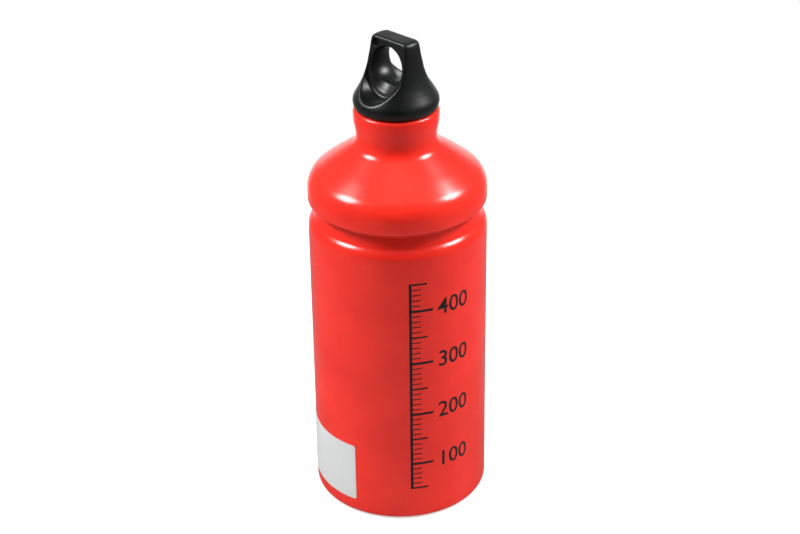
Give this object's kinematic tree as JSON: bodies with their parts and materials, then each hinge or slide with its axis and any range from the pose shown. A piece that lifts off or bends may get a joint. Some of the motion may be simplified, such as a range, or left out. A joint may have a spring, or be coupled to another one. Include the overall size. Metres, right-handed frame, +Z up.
{
  "type": "fuel bottle",
  "caption": "Slim metal camping fuel bottle with a fill-line groove, a threaded neck and a black screw stopper with a carry loop.",
  "frame": {"origin": "centre of the foot, on the plane that the bottle stands on", "axes": "+Z up along the bottle's axis; the eye of the stopper's loop runs along Y when the stopper is screwed home, and the label is on the -Y and -X side"},
  "size_m": [0.074, 0.0741, 0.2058],
  "materials": {
    "red_enamel": "gloss enamel",
    "black_plastic": "satin",
    "seal_rubber": "matte",
    "label_paper": "matte"
  },
  "bodies": {
    "bottle": {"bottle_shell": "red_enamel", "sticker": "label_paper"},
    "seal": {"seal_ring": "seal_rubber"},
    "stopper": {"stopper": "black_plastic"}
  },
  "joints": [
    {"name": "stopper_lift", "type": "slide", "parent": "bottle", "child": "seal", "axis": [0, 0, 1], "range_m": [0, 0.0164]},
    {"name": "stopper_turn", "type": "hinge", "parent": "seal", "child": "stopper", "pos_m": [0, 0, 0.1765], "axis": [0, 0, 1], "range_deg": [0, 1476]}
  ],
  "couplings": [
    {"joint": "stopper_lift", "follows": "stopper_turn", "m_per_rad": 0.00063662}
  ]
}
